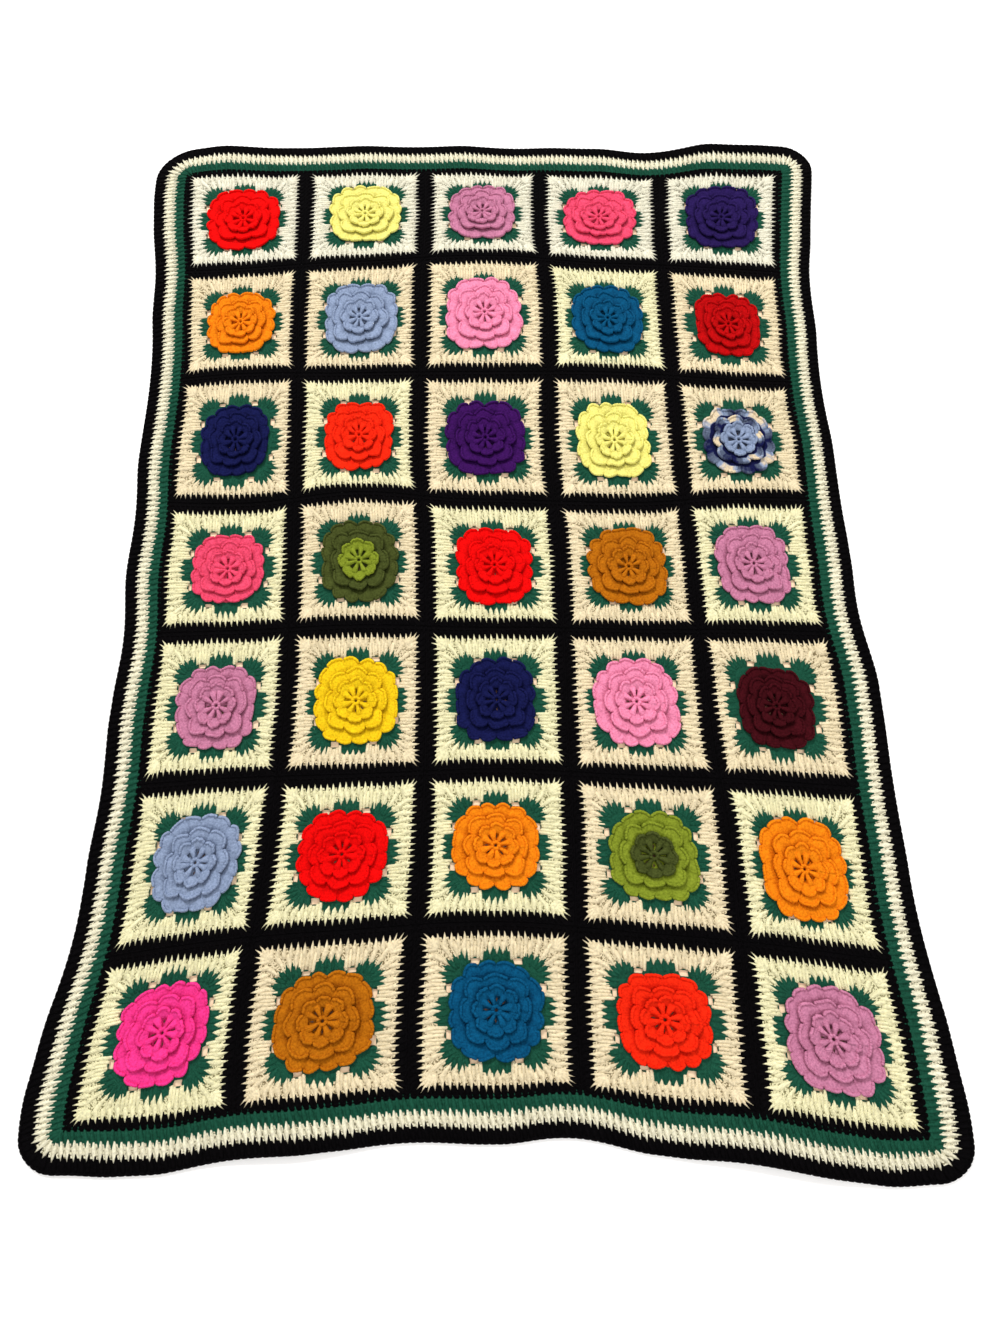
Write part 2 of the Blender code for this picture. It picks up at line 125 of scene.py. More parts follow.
# The rose in each square, from the head end down and from the left: its yarn, how far it sits off the
# middle of the square across and up, and its width, mm. The green round is worked onto the rose, so
# its open spaces go with it.
Rose = namedtuple("Rose", "yarn across up width")
ROSES = [[Rose(*rose) for rose in row] for row in (
    (("scarlet", -2, -3, 101), ("lemon", 2, -2, 102), ("orchid", -2, -3, 101),
     ("coral", 0, -4, 100), ("indigo", 2, -1, 102)),
    (("orange", 1, -5, 99), ("heather", 2, -4, 102), ("pink", -2, -6, 102),
     ("teal", -1, -7, 104), ("crimson", -1, -3, 94)),
    (("navy", 3, -4, 92), ("tangerine", 3, -5, 98), ("violet", 3, -2, 101),
     ("lemon", -1, -5, 99), ("variegated", -5, -4, 95)),
    (("coral", 4, -3, 95), ("olive", 0, -5, 102), ("scarlet", 3, -4, 101),
     ("ochre", -1, 0, 103), ("orchid", -1, -2, 99)),
    (("orchid", 2, -3, 98), ("gold", 0, -1, 100), ("navy", 0, -3, 99),
     ("pink", -1, -2, 103), ("burgundy", -3, -2, 93)),
    (("heather", 4, -1, 101), ("scarlet", -2, -3, 99), ("orange", -2, -1, 98),
     ("lime", -1, 0, 97), ("orange", -1, -3, 105)),
    (("magenta", 2, 3, 96), ("ochre", 2, -2, 98), ("teal", 1, -2, 98),
     ("tangerine", 0, -1, 93), ("orchid", -1, 0, 103)),
)]
# Roses whose hub and inmost tier are in a yarn of their own.
MIDDLES = {(3, 5): "heather", (4, 2): "lime", (6, 4): "olive"}
# The cream by square: warm or pale, from different yarn lots; the head row's near white cream is painted
# light.
CREAMS = ("nnnnn", "wwwpw", "wpwww", "pwpwp", "pwpww", "pppwp", "pwwwp")
CREAM_LOTS_AND_LIGHT = {"n": "cream_head_lit", "w": "cream_warm", "p": "cream_pale"}
# How the variegated yarn changes along the outer tier, anticlockwise from the right: 0 navy, 1 cream.
DYE = (0.10, 0.55, 0.95, 0.65, 0.05, 0.60, 0.95, 0.55, 0.10, 0.10, 0.50, 0.95, 0.30, 0.05, 0.92, 0.60)
DYE_SHIFT = 0.92  # by how much the tier inside it is turned, radians

# -------------------- heights through the cloth, mm
GROUND_LOW = 1.2
GROUND_HIGH = 2.4
MID = 1.85  # middle of a flat stitch
STITCH_TALL = 3.6
BORDER_TALL = 4.0


def along(at, column):
    """A column of LINES, read smoothly between its lines, for an array of places up the blanket."""
    last = len(LINES) - 2
    places = np.array([line.at for line in LINES])
    values = np.array([getattr(line, column) for line in LINES], float)
    k = (at[:, None] < places[None, 1 : last + 1]).sum(axis=1)
    before, after, beyond = np.maximum(k - 1, 0), k + 1, np.minimum(k + 2, last + 1)
    span = places[after] - places[k]
    slope_a = (values[after] - values[before]) / (places[after] - places[before])
    slope_b = (values[beyond] - values[k]) / (places[beyond] - places[k])
    u = (at - places[k]) / span
    return (
        values[k] * (1 + 2 * u) * (1 - u) ** 2
        + values[after] * u * u * (3 - 2 * u)
        + slope_a * span * u * (1 - u) ** 2
        + slope_b * span * u * u * (u - 1)
    )


def bump(distance):
    """1 in the middle of a local change, falling smoothly to 0 at distance 1."""
    return np.where(distance < 1, (1 - distance * distance) ** 2, 0.0)


def laid(points):
    """Where plan points (s, t, height above the underside), in mm, come to lie, in metres."""
    points = np.asarray(points, float)
    s, t, z = points[:, 0], points[:, 1], points[:, 2].copy()
    at = t / PITCH
    end = s / (COLUMNS * PITCH / 2)
    x = along(at, "shift") + along(at, "pitch") * s / PITCH
    y = along(at, "level") + along(at, "bow") * end * end
    for pull in PULLS:
        share = bump(np.hypot(s / PITCH - (pull.column - 3), at - (4 - pull.row)) / pull.reach)
        x = x + share * pull.across
        y = y + share * pull.up
    for ripple in RIPPLES:
        z = z + ripple.height * bump(np.hypot(s / PITCH - ripple.across, at - ripple.up) / ripple.reach)
    return np.column_stack([x, y, z]) * MM


def rim(offset, sharp=False, steps=ARC_STEPS):
    """Plan outline of the border at a distance outside the joined squares, anticlockwise."""
    half_width = COLUMNS * PITCH / 2 + offset
    half_height = ROWS * PITCH / 2 + offset
    points = []
    for index, corner in enumerate(CORNERS):
        radius = 0 if sharp else max(corner.radius - (BORDER - offset), LEAST_RADIUS)
        middle_s = corner.side * (half_width - radius)
        middle_t = corner.end * (half_height - radius)
        for step in range(1 if sharp else steps + 1):
            angle = pi / 2 * (index + 2 + step / steps)
            points.append((middle_s + radius * cos(angle), middle_t + radius * sin(angle)))
    return points


def divided(loop, longest):
    """A closed loop with points added so that no side is longer than that."""
    points = []
    for (s0, t0), (s1, t1) in zip(loop, loop[1:] + loop[:1]):
        steps = max(1, ceil(hypot(s1 - s0, t1 - t0) / longest))
        points += [(s0 + (s1 - s0) * i / steps, t0 + (t1 - t0) * i / steps) for i in range(steps)]
    return points


def part_middle():
    """Middle of the laid outline, which is the origin, in metres."""
    half_width, half_height = COLUMNS * PITCH / 2 + BORDER, ROWS * PITCH / 2 + BORDER
    points = rim(BORDER, steps=OUTLINE_STEPS)
    for end in (-1, 1):
        points += [(PITCH / 2 * i, end * half_height) for i in range(1 - COLUMNS, COLUMNS)]
        points += [(end * half_width, PITCH / 2 * i) for i in range(1 - ROWS, ROWS)]
    outline = laid([(s, t, 0) for s, t in points])
    return (outline.min(axis=0) + outline.max(axis=0))[:2] / 2


MIDDLE = part_middle()


def placed(points):
    """World positions, in metres, of plan points (s, t, height) in mm."""
    at = laid(points)
    at[:, :2] -= MIDDLE
    return at


# -------------------- stitches
# A stitch is a closed body along a short line. Each ring of its form gives how far along the line it
# lies, and its width and height as shares of the stitch's own.
FORMS = {
    "spike": ((0.08, 0.65, 0.85), (0.32, 1.0, 1.0), (0.68, 0.50, 0.86)),  # blunt root, sharp tip
    "leaf": ((0.20, 0.50, 0.80), (0.50, 1.0, 1.0), (0.80, 0.50, 0.80)),  # sharp at both ends
    "post": ((0.06, 0.70, 0.70), (0.50, 0.95, 1.0), (0.94, 0.85, 0.75)),  # blunt at both ends
    "link": ((0.14, 0.66, 0.66), (0.50, 1.0, 1.0), (0.86, 0.66, 0.66)),
    "spoke": ((0.06, 0.55, 0.8), (0.45, 0.86, 1.0), (0.94, 1.50, 0.9)),  # widens away from the hub
}
STEP, RISE = 3.0, 2.0  # what one step of a grid counts for along and across a strand, mm


def linked(name, data):
    """A new object with this data, in the scene."""
    piece = bpy.data.objects.new(name, data)
    bpy.context.scene.collection.objects.link(piece)
    return piece


def set_inputs(node, values):
    for socket, value in values.items():
        node.inputs[socket].default_value = value


class Piece:
    """Stitches and shells gathered for one object, in plan coordinates."""

    def __init__(self, name, chance=None):
        self.name = name
        self.chance = chance
        self.yarns, self.stitches, self.count = [], {}, 0
        self.verts, self.faces, self.looks, self.strands = [], [], [], []

    def yarn(self, name):
        if name not in self.yarns:
            self.yarns.append(name)
        return self.yarns.index(name)

    def stitch(self, yarn, form, start, end, width, height, sides=4, tone=None, arch=0.0):
        """Adds one stitch from start to end, each (s, t, height). Its tone is drawn unless given."""
        tone = self.chance.random() if tone is None else tone
        row = (*start, *end, width, height, tone, arch, self.yarn(yarn))
        self.stitches.setdefault((form, sides), []).append(row)

    def add(self, verts, faces, looks, strands):
        self.verts.append(np.asarray(verts, float))
        self.faces.append(np.asarray(faces, int) + self.count)
        self.looks.append(np.asarray(looks, int))
        self.strands.append(np.asarray(strands, float))
        self.count += len(verts)

    def gather(self):
        """Turns the stitches into bodies."""
        for (form, sides), rows in self.stitches.items():
            rows = np.array(rows)
            start, end = rows[:, 0:3], rows[:, 3:6]
            width, height, tone, arch, look = rows[:, 6:].T
            run = end - start
            length = np.linalg.norm(run, axis=1)
            flat = np.hypot(run[:, 0], run[:, 1])
            sideways = np.column_stack([-run[:, 1], run[:, 0], np.zeros(len(run))]) / flat[:, None]
            upward = np.cross(run / length[:, None], sideways)
            rings = FORMS[form]
            each = [start]
            strand = [np.column_stack([0 * length, 0 * length, tone])]
            for u, wide, tall in rings:
                middle = start + run * u
                middle[:, 2] += arch * 4 * u * (1 - u)
                for k in range(sides):
                    angle = 2 * pi * k / sides
                    across, up = cos(angle) * wide / 2 * width, sin(angle) * tall / 2 * height
                    each.append(middle + sideways * across[:, None] + upward * up[:, None])
                    strand.append(np.column_stack([length * u, across, tone]))
            each.append(end)
            strand.append(np.column_stack([length, 0 * length, tone]))
            per = len(each)
            verts = np.stack(each, axis=1).reshape(-1, 3)
            strands = np.stack(strand, axis=1).reshape(-1, 3)
            body = []
            for k in range(sides):
                after = (k + 1) % sides
                body.append((0, 1 + after, 1 + k))
                for ring in range(len(rings) - 1):
                    a, b = 1 + ring * sides, 1 + (ring + 1) * sides
                    body += [(a + k, a + after, b + after), (a + k, b + after, b + k)]
                a = 1 + (len(rings) - 1) * sides
                body.append((a + k, a + after, per - 1))
            body = np.array(body)
            faces = (body[None] + np.arange(len(rows))[:, None, None] * per).reshape(-1, 3)
            self.add(verts, faces, np.repeat(look.astype(int), len(body)), strands)
        self.stitches = {}

    def grid(self, yarn, loops, tones):
        """A closed ring through loops of equal length, each a list of (s, t, height)."""
        count, steps = len(loops), len(loops[0])
        verts = [p for loop in loops for p in loop]
        faces = []
        for j in range(count):
            for i in range(steps):
                a, b = j * steps + i, j * steps + (i + 1) % steps
                c, d = ((j + 1) % count) * steps + i, ((j + 1) % count) * steps + (i + 1) % steps
                faces += [(a, b, d), (a, d, c)]
        strands = [(STEP * (k % steps), RISE * (k // steps), tones[k]) for k in range(len(verts))]
        self.add(verts, faces, [self.yarn(yarn)] * len(faces), strands)

    def make(self, smooth=True):
        self.gather()
        mesh = bpy.data.meshes.new(self.name)
        mesh.from_pydata(placed(np.concatenate(self.verts)).tolist(), [], np.concatenate(self.faces).tolist())
        for yarn in self.yarns:
            mesh.materials.append(yarn_material(yarn))
        mesh.polygons.foreach_set("material_index", np.concatenate(self.looks).astype(np.int32))
        mesh.polygons.foreach_set("use_smooth", np.full(len(mesh.polygons), smooth))
        strand = mesh.attributes.new("strand", "FLOAT_VECTOR", "POINT")
        strand.data.foreach_set("vector", np.concatenate(self.strands).astype(np.float32).ravel())
        mesh.update()
        return linked(self.name, mesh)


# -------------------- materials
ROUGHNESS = 0.88
SHEEN, BLACK_SHEEN = 0.10, 0.02
SHEEN_ROUGHNESS = 0.5
GLOSS, BLACK_GLOSS = 0.06, 0.03
PLY = 2.1  # from one ply to the next along a strand, mm
PLY_SLANT = 0.9
FIBRES, FUZZ, PATCHES, BLOTS = (1900, 2), (480, 1), (22, 2), (45, 1)  # scale and detail of each noise
RELIEF, CREAM_RELIEF = 0.8, 0.65
RELIEF_HEIGHT = 0.35
CREASE_FROM = 2.1  # how far from a cream stitch's crest the painted shade of its creases begins, mm, and how far it runs
CREASE_RUN = 1.4
CREASE_SPOT = 0.50  # above this much of the fuzz a crease takes painted shade, and more so the further above
CREASE_SHADE_DEPTH = 10.0
LEAST_TONE = 0.28
TONE_STOP = 0.8  # where a tone of 1, the plain colour, lies among the stops
# A plain yarn's stops, as (place, power of its colour, light). Low tones are mostly painted shade: yarn
# lights up yarn, so painted shade in a crease is deeper in colour and not only darker.
SHADES = ((0.0, 1.6, 0.30), (0.4, 1.25, 0.62), (TONE_STOP, 1.0, 1.0), (1.0, 0.97, 1.22))
# The variegated yarn's stops, from DYE 0 to 1, and how far its colours run into each other.
DYE_STOPS = ((0.15, YARNS["navy"]), (0.50, (0.10, 0.125, 0.19)), (0.72, YARNS["heather"]),
             (0.96, (0.74, 0.60, 0.40)))
DYE_RUN = 0.25
made = {}


def yarn_material(yarn):
    """Plied acrylic yarn: slanting plies, fine fibres, and stitches that differ a little in tone."""
    if yarn in made:
        return made[yarn]
    material = made[yarn] = bpy.data.materials.new(yarn + "_yarn")
    material.use_nodes = True
    nodes, links = material.node_tree.nodes, material.node_tree.links
    shader = nodes["Principled BSDF"]
    colour, cream = YARNS[yarn], yarn.startswith("cream")
    set_inputs(shader, {
        "Roughness": ROUGHNESS,
        "Sheen Weight": BLACK_SHEEN if yarn == "black" else SHEEN,
        "Sheen Roughness": SHEEN_ROUGHNESS,
        "Sheen Tint": (*colour, 1),
        "Specular IOR Level": BLACK_GLOSS if yarn == "black" else GLOSS,
    })

    strand = nodes.new("ShaderNodeAttribute")
    strand.attribute_name = "strand"
    parts = nodes.new("ShaderNodeSeparateXYZ")
    links.new(strand.outputs["Vector"], parts.inputs[0])
    run, across, stitch = parts.outputs
    place = nodes.new("ShaderNodeTexCoord")

    def math_node(operation, a, b=None):
        node = nodes.new("ShaderNodeMath")
        node.operation = operation
        for socket, value in zip(node.inputs, (a, b)):
            if value is None:
                continue
            if isinstance(value, (int, float)):
                socket.default_value = value
            else:
                links.new(value, socket)
        return node.outputs[0]

    def noise(scale, detail):
        node = nodes.new("ShaderNodeTexNoise")
        set_inputs(node, {"Scale": scale, "Detail": detail})
        links.new(place.outputs["Object"], node.inputs["Vector"])
        return node.outputs["Fac"]

    def total(*terms):
        """The sum of some values, each with its weight."""
        result = None
        for value, weight in terms:
            term = math_node("MULTIPLY", value, weight)
            result = term if result is None else math_node("ADD", result, term)
        return result

    def ramp(factor, stops):
        """The colour at a factor, between stops of (place, colour)."""
        node = nodes.new("ShaderNodeValToRGB")
        elements = node.color_ramp.elements
        for end in (0, -1):
            elements[end].position, elements[end].color = stops[end][0], (*stops[end][1], 1)
        for position, stop in stops[1:-1]:
            elements.new(position).color = (*stop, 1)
        links.new(factor, node.inputs["Fac"])
        return node

    # Plies: a wave that runs slanting over the strand.
    slant = math_node("ADD", run, math_node("MULTIPLY", across, PLY_SLANT))
    wave = math_node("SINE", math_node("MULTIPLY", slant, 2 * pi / PLY))
    fibres, patches, fuzz = noise(*FIBRES), noise(*PATCHES), noise(*FUZZ)
    relief = nodes.new("ShaderNodeBump")
    set_inputs(relief, {"Strength": CREAM_RELIEF if cream else RELIEF, "Distance": RELIEF_HEIGHT * MM})
    links.new(total((wave, 0.5), (fuzz, 2.4), (fibres, 0.6)), relief.inputs["Height"])
    links.new(relief.outputs["Normal"], shader.inputs["Normal"])

    # Tone: painted shade between plies, and each stitch and patch a little different at random.
    tone = total((wave, 0.08), (fibres, 0.22), (fuzz, 0.90), (stitch, 0.16), (patches, 0.16))
    tone = math_node("ADD", tone, LEAST_TONE)
    if cream:  # shadow gathers here and there between two stitches, and shows most in cream
        side = math_node("SUBTRACT", math_node("ABSOLUTE", across), CREASE_FROM)
        side = math_node("MINIMUM", math_node("MAXIMUM", side, 0.0), CREASE_RUN)
        spot = math_node("MAXIMUM", math_node("SUBTRACT", fuzz, CREASE_SPOT), 0.0)
        spot = math_node("MULTIPLY", spot, CREASE_SHADE_DEPTH)
        tone = math_node("SUBTRACT", tone, math_node("MULTIPLY", side, spot))
    if yarn == "variegated":  # dyed in lengths, so the colour follows the tone that the stitches carry
        dye = ramp(math_node("ADD", stitch, math_node("MULTIPLY", noise(*BLOTS), DYE_RUN)), DYE_STOPS)
        dye.color_ramp.interpolation = "EASE"
        mix = nodes.new("ShaderNodeVectorMath")
        mix.operation = "SCALE"
        links.new(dye.outputs["Color"], mix.inputs[0])
        links.new(tone, mix.inputs["Scale"])
        links.new(mix.outputs["Vector"], shader.inputs["Base Color"])
        return material
    stops = [(at, tuple(min(c**power * light, 1.0) for c in colour)) for at, power, light in SHADES]
    shades = ramp(math_node("MULTIPLY", tone, TONE_STOP), stops)
    links.new(shades.outputs["Color"], shader.inputs["Base Color"])
    return material


# -------------------- one square
QUARTERS = ((1, 0), (0, 1), (-1, 0), (0, -1))
SPIKE = 6.5  # how far a zigzag's tips stand off its middle
LEAN = 1.7  # how far a tip leans anticlockwise
CREAM_EDGE = PITCH / 2 - BLACK_ROUND  # the middle of the zigzag between cream and black
CREAM_TIPS = 22  # on each side of the outer cream round
CREAM_ROOT = 60.0  # half the width of the square on which that round's roots lie
CREAM_INNER_ROOT = 67.0  # and of the one for the inner cream round
CREAM_WIDE, CREAM_INNER_WIDE, GREEN_WIDE, BLACK_WIDE = 7.4, 7.6, 6.6, 6.9  # a stitch's width
BLACK_EDGE = PITCH / 2 - 0.2
BLACK_ROOT = 4.0  # how far out of the tips the black stitches begin
EDGE_LINKS = 24  # chain links along a side of the black round
SIDE_BOW = 1.0  # how far a side of the cream bows out in its middle, and in beside its corners
SIDE_LIFT = 0.4
SIDE_WAVE = 40.0
GREEN_HALF = 57.0  # the green round's outline: half its width, and how square it is
GREEN_POWER = 5.0
GREEN_ROOT = 14.0  # how far inside it the green stitches begin
MID_CLUSTER = 15.0  # half the width of the green cluster in the middle of a side
MID_CLUSTER_OUT = 4.0  # how much further out it reaches
SIDE_STITCHES = 15  # places on a side of the green round; these are left free of cream and of green:
NO_CREAM = (2, 3, 4, 11, 12, 13)
NO_GREEN = (2, 3, 11, 12)
LOBE = 8.5  # half the width of a cream lobe that fills an open space
# The cream stitches that close in on an open space: place across it, ends, narrowing and width.
Closing = namedtuple("Closing", "across start end gather width")
CLOSINGS = [Closing(*closing) for closing in (
    (-7.6, 67.0, 48.0, 0.88, 5.6), (-3.8, 67.5, 50.2, 0.90, 5.0), (0.0, 67.5, 52.0, 0.90, 5.2),
    (3.8, 67.5, 50.2, 0.90, 5.0), (7.6, 67.0, 48.0, 0.88, 5.6),
)]
CHAIN_OUT = 51.4  # the green chain across a space: its distance out, half its length and its thickness
CHAIN_HALF = 8.0
CHAIN_THICK = 1.7


class Square:
    """The draws and places that one square's pieces share."""

    def __init__(self, row, column):
        own = ROSES[row - 1][column - 1]
        self.chance = random.Random(SEED + 10 * row + column)
        self.middle = ((column - 3) * PITCH, (4 - row) * PITCH)
        self.rose = (self.middle[0] + own.across, self.middle[1] + own.up)
        self.size = own.width / USUAL_WIDTH
        turn = self.vary(TURN)
        drifts = [self.vary(tier.drift) for tier in TIERS[::-1]]
        self.drifts = [turn + radians(drift) for drift in drifts[::-1]]
        self.yarn = own.yarn
        self.middle_yarn = MIDDLES.get((row, column), own.yarn)
        self.cream = CREAM_LOTS_AND_LIGHT[CREAMS[row - 1][column - 1]]

    def vary(self, amount):
        return self.chance.uniform(-amount, amount)


SPOTS = [(row, column) for row in range(1, ROWS + 1) for column in range(1, COLUMNS + 1)]
SPACES = [(side, across) for side in QUARTERS for across in (-SPACE_MIDDLE, SPACE_MIDDLE)]


def turned(direction, out, across, middle=(0.0, 0.0)):
    """The place so far out from a middle in a direction, given as (cos, sin), and so far to its left."""
    c, s = direction
    return (middle[0] + out * c - across * s, middle[1] + out * s + across * c)


def circle(middle, radius, steps):
    angles = [2 * pi * i / steps for i in range(steps)]
    return [(middle[0] + radius * cos(a), middle[1] + radius * sin(a)) for a in angles]


def even_steps(loop, count):
    """Even steps along a closed loop: the two ends of the side that each falls on, and its share of it."""
    lengths = [0.0]
    for (a, b), (c, d) in zip(loop, loop[1:] + loop[:1]):
        lengths.append(lengths[-1] + hypot(c - a, d - b))
    k = 0
    for i in range(count):
        target = lengths[-1] * i / count
        while lengths[k + 1] <= target:
            k += 1
        yield loop[k], loop[(k + 1) % len(loop)], (target - lengths[k]) / (lengths[k + 1] - lengths[k])


def green_outline(count):
    """Points at even steps round the green round's outline, with its outward direction there."""
    fine = 720
    points = []
    for i in range(fine):
        angle = 2 * pi * i / fine
        c, s = cos(angle), sin(angle)
        reach = GREEN_HALF / (abs(c) ** GREEN_POWER + abs(s) ** GREEN_POWER) ** (1 / GREEN_POWER)
        across = reach * min(abs(c), abs(s)) / MID_CLUSTER
        reach += MID_CLUSTER_OUT * max(0.0, 1 - across * across)
        points.append((reach * c, reach * s))
    found = []
    for (a, b), (c, d), share in even_steps(points, count):
        x, y = a + (c - a) * share, b + (d - b) * share
        nx = copysign(abs(x / GREEN_HALF) ** (GREEN_POWER - 1), x)
        ny = copysign(abs(y / GREEN_HALF) ** (GREEN_POWER - 1), y)
        n = hypot(nx, ny)
        found.append((x, y, nx / n, ny / n))
    return found


def square_piece(row, column):
    square = Square(row, column)
    middle, rose, cream, vary = square.middle, square.rose, square.cream, square.vary
    piece = Piece(f"dressed_r{row}_c{column}", square.chance)

    def at(x, y, z):
        return (middle[0] + x, middle[1] + y, z)

    def near(x, y, z):
        return (rose[0] + x, rose[1] + y, z)

    # The outer cream round: tips at even steps round the square, roots on a smaller square.
    half = CREAM_EDGE + SPIKE
    tips = []
    for side in QUARTERS:
        for i in range(CREAM_TIPS):
            across = -half + 2 * half * (i + 0.5) / CREAM_TIPS
            x, y = turned(side, half, across)
            rx, ry = min(max(x, -CREAM_ROOT), CREAM_ROOT), min(max(y, -CREAM_ROOT), CREAM_ROOT)
            length = hypot(x - rx, y - ry)
            dx, dy = (x - rx) / length, (y - ry) / length
            bow = SIDE_BOW * cos(pi * across / SIDE_WAVE) + SIDE_LIFT
            out, slip = bow + vary(0.9), LEAN + vary(0.6)
            tx, ty = x + dx * out - dy * slip, y + dy * out + dx * slip
            tips.append((tx, ty, dx, dy))
            piece.stitch(cream, "spike", at(rx, ry, MID), at(tx, ty, MID + 0.3), CREAM_WIDE, STITCH_TALL)

    # The black round: each inner tip lies between two cream ones.
    for (ax, ay, adx, ady), (bx, by, bdx, bdy) in zip(tips, tips[1:] + tips[:1]):
        dx, dy = adx + bdx, ady + bdy
        n = hypot(dx, dy)
        dx, dy = dx / n, dy / n
        mx, my = (ax + bx) / 2, (ay + by) / 2
        inward = 2 * SPIKE + vary(0.8)
        ix, iy = mx - dx * inward + dy * 2 * LEAN, my - dy * inward - dx * 2 * LEAN
        ox, oy = mx + dx * BLACK_ROOT, my + dy * BLACK_ROOT
        if abs(ox) > abs(oy):
            ox = copysign(BLACK_EDGE, ox)
        else:
            oy = copysign(BLACK_EDGE, oy)
        piece.stitch("black", "spike", at(ox, oy, MID), at(ix, iy, MID + 0.15), BLACK_WIDE, STITCH_TALL)

    # The chain edge of the black round, along the seam with the next square.
    overlap = BLACK_EDGE / EDGE_LINKS * 1.3
    for side in QUARTERS:
        for i in range(EDGE_LINKS):
            across = -BLACK_EDGE + 2 * BLACK_EDGE * (i + 0.5) / EDGE_LINKS
            start = turned(side, BLACK_EDGE - 3.3, across - overlap)
            end = turned(side, BLACK_EDGE - 1.5, across + overlap)
            piece.stitch("black", "link", at(*start, MID + 0.5), at(*end, MID + 0.5), 3.4, 3.0)

    # The inner cream round and the green clusters meet on the green round's outline, which goes with
    # the rose. Some places on it are left to the stitches that close round an open space.
    steps = 4 * SIDE_STITCHES
    outline = green_outline(steps * 2)
    shift_x, shift_y = rose[0] - middle[0], rose[1] - middle[1]
    for i in range(steps):
        place = i % SIDE_STITCHES
        x, y, nx, ny = outline[2 * i]
        run_x = (CREAM_INNER_ROOT - copysign(1, nx) * (x + shift_x)) / max(abs(nx), 1e-6)
        run_y = (CREAM_INNER_ROOT - copysign(1, ny) * (y + shift_y)) / max(abs(ny), 1e-6)
        run = min(run_x, run_y)
        if place not in NO_CREAM:
            tip, slip = -SPIKE + vary(1.0), vary(0.9)
            piece.stitch(cream, "spike", near(x + nx * run, y + ny * run, MID),
                         near(x + nx * tip - ny * slip, y + ny * tip + nx * slip, MID + 0.15),
                         CREAM_INNER_WIDE, STITCH_TALL)
        if place in NO_GREEN:
            continue
        x, y, nx, ny = outline[2 * i + 1]
        tip, slip = SPIKE + vary(1.0), vary(0.9)
        piece.stitch("green", "spike", near(x - nx * GREEN_ROOT, y - ny * GREEN_ROOT, MID - 0.2),
                     near(x + nx * tip - ny * slip, y + ny * tip + nx * slip, MID + 0.15),
                     GREEN_WIDE, STITCH_TALL)
    for side, space in SPACES:
        # Cream stitches close in on the open space; one space lies further out than the next.
        open_out = vary(1.4)
        for closing in CLOSINGS:
            narrowed = space + closing.across * closing.gather + vary(0.7)
            out = closing.start - (shift_x * side[0] + shift_y * side[1])
            start = turned(side, out, space + closing.across)
            end = turned(side, closing.end + open_out + vary(0.6), narrowed)
            piece.stitch(cream, "post", near(*start, MID), near(*end, MID), closing.width, STITCH_TALL)
        # The green chain that spans the space, under the cream stitches worked over it.
        start = turned(side, CHAIN_OUT + open_out, space - CHAIN_HALF)
        end = turned(side, CHAIN_OUT + open_out, space + CHAIN_HALF)
        piece.stitch("green", "post", near(*start, MID - 0.2), near(*end, MID - 0.2),
                     CHAIN_THICK, CHAIN_THICK, sides=6, tone=0.0)

    rose_stitches(piece, square)
    return piece.make()


# What the petals of each tier have of their own, from the inner one out: posts, rounded bumps and chain links
# along each rim, how uneven their widths and heights are, how deep the notches between them are and how far
# the rim falls there, and by how much the dye is turned.
Petals = namedtuple("Petals", "posts bumps links uneven raised notch fall shift")
PETAL_TIERS = (
    Petals(5, 1, 6, 0.03, 0.3, (0.14, 0.19), 2.2, 0.0),
    Petals(7, 1, 9, 0.04, 0.6, (0.15, 0.20), 2.4, DYE_SHIFT),
    Petals(10, 2, 6, 0.03, 0.6, (0.02, 0.07), 1.6, 0.0),
)
LOW = 1.9  # height of the petals' underside
HUB_LINKS = 8
BACK_POSTS = 40


